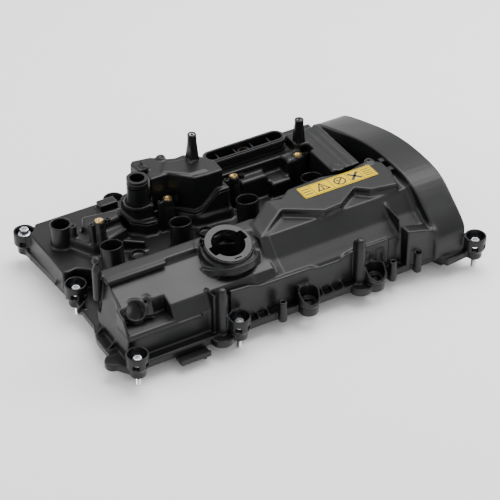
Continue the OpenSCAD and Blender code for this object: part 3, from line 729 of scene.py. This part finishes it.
def scatter(name, piece, points, lean, finish):
    """One object with a copy of piece at each row point."""
    mesh = bpy.data.meshes.new(name + "_points")
    mesh.from_pydata(points, [], [])
    obj = link(name, mesh)
    mod = obj.modifiers.new("Copies", "NODES")
    mod.node_group = scatter_tree()
    ids = {s.name: s.identifier for s in mod.node_group.interface.items_tree if s.in_out == "INPUT"}
    mod[ids["Piece"]] = piece
    mod[ids["Lean"]] = lean
    mod[ids["Material"]] = finish
    bpy.context.view_layer.update()
    obj = applied(obj)
    old = piece.data
    bpy.data.objects.remove(piece)
    bpy.data.meshes.remove(old)
    keep_crisp(obj)
    return obj


def row(x, y, z):
    """A design point in the row frame."""
    return (x / 1000, (y + SHIFT) / 1000, z / 1000)


def screw_piece():
    """A flange screw with a socket in its head and a ridged shank, standing on its seat at z = 16.5."""
    shank = [(0, -15), (2.2, -15), (3.0, -13.6)]
    for k in range(14):
        shank += [(3.0, -13.4 + 0.85 * k), (2.6, -13.0 + 0.85 * k)]
    head = [(3.0, -1.1), (3.5, -1.0), (3.5, 16.5), (8.0, 16.5), (8.0, 17.6), (6.6, 18.3), (5.2, 18.3),
            (5.2, 24.0), (4.6, 24.5), (2.9, 24.5), (2.75, 24.2), (2.75, 20.4), (0, 20.0)]
    bm = lathe(shank + head, 48)
    for v in bm.verts:
        r = math.hypot(v.co.x, v.co.y)
        if v.co.z > 18.4 and r > 4.4:
            a = math.atan2(v.co.y, v.co.x)
            flat = 1.0 / math.cos((a + math.pi / 6) % (math.pi / 3) - math.pi / 6)
            v.co.x *= flat * 0.93
            v.co.y *= flat * 0.93
    bmesh.ops.scale(bm, vec=(0.001,) * 3, verts=bm.verts)
    return from_bmesh("screw_piece", bm)


def insert_piece(outer, bore, length, rim):
    """A knurled insert with a threaded bore, its top at z = 0."""
    inner = []
    turns = int(length / 0.8)
    for k in range(turns):
        inner += [(bore, -length + 0.3 + 0.8 * k), (bore + 0.3, -length + 0.7 + 0.8 * k)]
    profile = [(outer, -length), (outer, -0.3), (outer - 0.3, rim), (bore + 0.5, rim), (bore, rim - 0.5)]
    bm = lathe(profile + inner[::-1], 60)
    for v in bm.verts:
        r = math.hypot(v.co.x, v.co.y)
        if r > outer - 0.1 and v.co.z < -0.2:
            a = math.atan2(v.co.y, v.co.x)
            v.co.x *= 1 - 0.02 * (round(a / (2 * math.pi) * 60) % 2)
            v.co.y *= 1 - 0.02 * (round(a / (2 * math.pi) * 60) % 2)
    bmesh.ops.scale(bm, vec=(0.001,) * 3, verts=bm.verts)
    return from_bmesh("insert_piece", bm)


# ---- the add-on ----

class MouldingSettings(bpy.types.PropertyGroup):
    """How finely the mouldings are cast."""
    step: bpy.props.FloatProperty(name="Step", description="Grid step of the moulding, in millimetres",
                                  default=1.0, min=0.6, max=3.0)
    draft_step: bpy.props.FloatProperty(name="Draft step", description="Grid step in a quick render, mm",
                                        default=1.5, min=0.8, max=4.0)
    triangles: bpy.props.IntProperty(name="Triangles", description="Most triangles in one moulding",
                                     default=190000, min=20000, max=199000)


class LabelSettings(bpy.types.PropertyGroup):
    """The film on the label deck."""
    left: bpy.props.FloatProperty(name="Left", description="Left end along X", default=0.229, unit="LENGTH")
    width: bpy.props.FloatProperty(name="Width", description="Length along X", default=0.102, unit="LENGTH")
    depth: bpy.props.FloatProperty(name="Depth", description="Size along Y", default=0.0225, unit="LENGTH")
    height: bpy.props.FloatProperty(name="Height", description="Height of the deck", default=0.090,
                                    unit="LENGTH")


class StageSettings(bpy.types.PropertyGroup):
    """The floor, lights and camera."""
    floor: bpy.props.FloatProperty(name="Floor", description="Height of the floor", default=-0.015,
                                   unit="LENGTH")
    azimuth: bpy.props.FloatProperty(name="Azimuth", description="Camera direction in plan",
                                     default=math.radians(-30.23), unit="ROTATION")
    elevation: bpy.props.FloatProperty(name="Elevation", description="Camera height angle",
                                       default=math.radians(37.1), unit="ROTATION")
    distance: bpy.props.FloatProperty(name="Distance", description="Camera distance", default=2.3122,
                                      unit="LENGTH")
    lens: bpy.props.FloatProperty(name="Lens", description="Focal length in millimetres", default=136.8)


def grid_step(settings):
    return settings.step


class COVER_OT_moulding(bpy.types.Operator):
    """Cast the one-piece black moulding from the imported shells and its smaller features."""
    bl_idname = "cover.moulding"
    bl_label = "Cover moulding"

    def execute(self, context):
        s = context.scene.cover_moulding
        obj = cast_cover(grid_step(s), s.triangles)
        finish_piece(obj, "cover", "black_nylon", finishes()["black_nylon"], *SHELLS, *FITTINGS,
                     "chain_hood", "separator_pot", "ball_post")
        return {"FINISHED"}


class COVER_OT_lid(bpy.types.Operator):
    """Cast the welded separator lid with its post."""
    bl_idname = "cover.lid"
    bl_label = "Separator lid"

    def execute(self, context):
        s = context.scene.cover_moulding
        obj = cast_lid(grid_step(s) * 0.7, s.triangles // 3)
        finish_piece(obj, "cover", "black_nylon", finishes()["black_nylon"], "separator_lid", "lid_post")
        return {"FINISHED"}


class COVER_OT_screws(bpy.types.Operator):
    """Stand a captive flange screw in each of the eight cups."""
    bl_idname = "cover.screws"
    bl_label = "Cover screws"

    def execute(self, context):
        zinc = finishes()["zinc_steel"]
        obj = scatter("flange_screws", screw_piece(), [row(*p) for p in SCREW_SEATS], 0.0, zinc)
        finish_piece(obj, "cover", "zinc_steel", zinc, "cover_screws")
        return {"FINISHED"}


class COVER_OT_inserts(bpy.types.Operator):
    """Press a threaded brass insert into each coil boss."""
    bl_idname = "cover.inserts"
    bl_label = "Coil inserts"

    def execute(self, context):
        brass = finishes()["brass"]
        at = [row(PITCH * k + COIL_SCREW[0], *COIL_SCREW[1:]) for k in range(4)]
        obj = scatter("coil_insert_rings", insert_piece(5.45, 2.5, 12, 0.6), at, -LEAN, brass)
        finish_piece(obj, "cover", "brass", brass, "coil_inserts")
        return {"FINISHED"}


class COVER_OT_spring(bpy.types.Operator):
    """Hang the control valve's spring between seat and plate, as a spring steel copy of the imported node."""
    bl_idname = "cover.spring"
    bl_label = "Valve spring"

    def execute(self, context):
        node = FRAME["nodes"]["valve_spring"]
        mesh = node.data.copy()
        mesh.transform(node.matrix_world)
        mesh.materials.clear()
        mesh.materials.append(finishes()["spring_steel"])
        spring = link("control_spring", mesh)
        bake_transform(spring)
        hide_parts("valve_spring")
        return {"FINISHED"}


class COVER_OT_label(bpy.types.Operator):
    """Lay the yellow film on the label deck and print generic marks on it."""
    bl_idname = "cover.label"
    bl_label = "Label"

    def execute(self, context):
        s = context.scene.cover_label
        x0, y0 = s.left * 1000, LABEL_FRONT
        w, d, z = s.width * 1000, s.depth * 1000, s.height * 1000
        bm = bmesh.new()
        plate(bm, round_corners(x0, y0, x0 + w, y0 + d, 1.5), z - 0.05, z + 0.3)
        film = from_bmesh("label_film", bm, False)
        scale_to_row(film)
        looks = finishes()
        finish_piece(film, "cover", "yellow_label", looks["yellow_label"], "label")
        ink = from_bmesh("label_print", label_marks(x0, y0, w, d, z + 0.28), False)
        scale_to_row(ink)
        finish_piece(ink, "cover", "yellow_label", looks["print"])
        return {"FINISHED"}


def round_corners(x0, y0, x1, y1, r, steps=6):
    """A rectangle's outline with arcs of radius r at its corners."""
    out = []
    corners = ((x1 - r, y0 + r, -90), (x1 - r, y1 - r, 0), (x0 + r, y1 - r, 90), (x0 + r, y0 + r, 180))
    for cx, cy, start in corners:
        for k in range(steps + 1):
            a = math.radians(start + 90 * k / steps)
            out.append((cx + r * math.cos(a), cy + r * math.sin(a)))
    return out


def label_marks(x0, y0, w, d, z):
    """A border, dividers and one plain geometric mark in each cell."""
    bm = bmesh.new()
    top = z + 0.06

    def bar(ax, ay, bx, by, thick=0.6):
        u = Vector((bx - ax, by - ay)).normalized() * thick / 2
        plate(bm, [(ax - u.x - u.y, ay - u.y + u.x), (ax - u.x + u.y, ay - u.y - u.x),
                   (bx + u.x + u.y, by + u.y - u.x), (bx + u.x - u.y, by + u.y + u.x)], z, top)

    def ring(cx, cy, r, thick=0.6, sides=28):
        for k in range(sides):
            a, b = 2 * math.pi * k / sides, 2 * math.pi * (k + 1) / sides
            plate(bm, [(cx + q * math.cos(t), cy + q * math.sin(t)) for q, t in
                       ((r - thick, a), (r, a), (r, b), (r - thick, b))], z, top)

    def disc(cx, cy, r, sides=24):
        plate(bm, [(cx + r * math.cos(2 * math.pi * k / sides), cy + r * math.sin(2 * math.pi * k / sides))
                   for k in range(sides)], z, top)

    m = 1.4
    bar(x0 + m, y0 + m, x0 + w - m, y0 + m, 0.7)
    bar(x0 + m, y0 + d - m, x0 + w - m, y0 + d - m, 0.7)
    bar(x0 + m, y0 + m, x0 + m, y0 + d - m, 0.7)
    bar(x0 + w - m, y0 + m, x0 + w - m, y0 + d - m, 0.7)
    mid = y0 + d / 2
    for cut in (16, 42, 66, 84):
        bar(x0 + cut, y0 + m, x0 + cut, y0 + d - m, 0.7)
    for k in range(3):
        bar(x0 + 4, mid - 5 + 5 * k, x0 + 13, mid - 5 + 5 * k, 1.6)
    a, r = x0 + 29, 8.6
    for p, q in ((0, 1), (1, 2), (2, 0)):
        t = [math.radians(90 + 120 * i) for i in (p, q)]
        bar(a + r * math.cos(t[0]), mid - 1.5 + r * math.sin(t[0]), a + r * math.cos(t[1]),
            mid - 1.5 + r * math.sin(t[1]), 1.9)
    bar(a, mid - 3.0, a, mid + 1.6, 2.0)
    disc(a, mid - 4.6, 1.0)
    ring(x0 + 54, mid, 7.9, 2.0)
    bar(x0 + 49.5, mid - 4.5, x0 + 58.5, mid + 4.5, 2.0)
    disc(x0 + 52, mid + 2.2, 1.5)
    bar(x0 + 69.5, mid - 5.5, x0 + 80.5, mid + 5.5, 3.4)
    bar(x0 + 69.5, mid + 5.5, x0 + 80.5, mid - 5.5, 3.4)
    for k in range(4):
        bar(x0 + 87.5, mid - 6 + 4 * k, x0 + 98, mid - 6 + 4 * k, 1.5)
    return bm


class COVER_OT_fittings(bpy.types.Operator):
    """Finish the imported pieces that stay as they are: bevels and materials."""
    bl_idname = "cover.fittings"
    bl_label = "Fittings"

    def execute(self, context):
        looks = finishes()
        shown = {s["node"]: s["material_slot"] for s in FRAME["record"]["subparts"]}
        rounded_nodes = ("breather_neck", "outlet_port", "filler_ring", "deck_post", "harness_bracket",
                         "hose_clips", "coil_clips", "post_inserts", "screw_sleeves", "sensor_insert",
                         "socket_insert", "breather_seal", "outlet_seal", "screw_grommets")
        for name, slot in shown.items():
            obj = FRAME["nodes"][name]
            obj.data.materials.clear()
            obj.data.materials.append(looks[slot])
            if name in rounded_nodes:
                bevel = obj.modifiers.new("Soft edges", "BEVEL")
                bevel.width = 0.0005
                bevel.segments = 2
                bevel.limit_method = "ANGLE"
                bevel.angle_limit = math.radians(38)
                bevel.harden_normals = True
        return {"FINISHED"}


LAMPS = (("key", (0.7, 0.4, 1.7), 1.4, 44), ("left", (-1.3, 0.5, 0.9), 0.8, 11),
         ("right", (1.4, -0.2, 0.9), 0.7, 10), ("front", (0.2, -1.6, 1.0), 0.9, 5))


class COVER_OT_stage(bpy.types.Operator):
    """Set the floor, the soft lights and the camera."""
    bl_idname = "cover.stage"
    bl_label = "Stage"

    def execute(self, context):
        s = context.scene.cover_stage
        bm = bmesh.new()
        bmesh.ops.create_grid(bm, x_segments=1, y_segments=1, size=12)
        floor = from_bmesh("floor", bm, False)
        floor.location = (0, 0, s.floor)
        white = bpy.data.materials.new("Pale floor")
        white.use_nodes = True
        white.node_tree.nodes["Principled BSDF"].inputs["Base Color"].default_value = (0.9, 0.9, 0.9, 1)
        white.node_tree.nodes["Principled BSDF"].inputs["Roughness"].default_value = 0.9
        floor.data.materials.append(white)
        world = context.scene.world or bpy.data.worlds.new("World")
        context.scene.world = world
        world.use_nodes = True
        world.node_tree.nodes["Background"].inputs["Color"].default_value = (1, 1, 1, 1)
        world.node_tree.nodes["Background"].inputs["Strength"].default_value = 0.9
        aim = Vector((0.18135, 0.002754, 0.0))
        for name, place, size, watts in LAMPS:
            data = bpy.data.lights.new(name, "AREA")
            data.shape, data.size, data.energy = "SQUARE", size, watts
            lamp = bpy.data.objects.new(name, data)
            lamp.location = place
            lamp.rotation_euler = (aim - Vector(place)).to_track_quat("-Z", "Y").to_euler()
            context.scene.collection.objects.link(lamp)
        data = bpy.data.cameras.new("camera")
        data.lens, data.sensor_width = s.lens, 36
        data.dof.use_dof = False
        data.clip_end = 50
        camera = bpy.data.objects.new("camera", data)
        az, el = s.azimuth, s.elevation
        away = Vector((math.sin(az) * math.cos(el), -math.cos(az) * math.cos(el), math.sin(el)))
        camera.location = aim + s.distance * away
        camera.rotation_euler = (aim - camera.location).to_track_quat("-Z", "Y").to_euler()
        context.scene.collection.objects.link(camera)
        context.scene.camera = camera
        return {"FINISHED"}


class COVER_PT_panel(bpy.types.Panel):
    """Buttons and settings of the cam cover builder."""
    bl_idname = "COVER_PT_panel"
    bl_label = "Cam cover"
    bl_space_type = "VIEW_3D"
    bl_region_type = "UI"
    bl_category = "Cam cover"

    def draw(self, context):
        layout = self.layout
        for group in (context.scene.cover_moulding, context.scene.cover_label, context.scene.cover_stage):
            box = layout.box()
            for name in group.__annotations__:
                box.prop(group, name)
        for op in OPERATORS:
            layout.operator(op.bl_idname)


OPERATORS = (COVER_OT_fittings, COVER_OT_moulding, COVER_OT_lid, COVER_OT_screws, COVER_OT_inserts,
             COVER_OT_spring, COVER_OT_label, COVER_OT_stage)
GROUPS = {"cover_moulding": MouldingSettings, "cover_label": LabelSettings, "cover_stage": StageSettings}


def register():
    for cls in (*GROUPS.values(), *OPERATORS, COVER_PT_panel):
        bpy.utils.register_class(cls)
    for name, group in GROUPS.items():
        setattr(bpy.types.Scene, name, bpy.props.PointerProperty(type=group))


def unregister():
    for name in GROUPS:
        delattr(bpy.types.Scene, name)
    for cls in reversed((*GROUPS.values(), *OPERATORS, COVER_PT_panel)):
        bpy.utils.unregister_class(cls)


def main():
    FRAME.update(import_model())
    register()
    for op in OPERATORS:
        getattr(bpy.ops.cover, op.bl_idname.split(".")[1])()


if __name__ == "__main__":
    main()
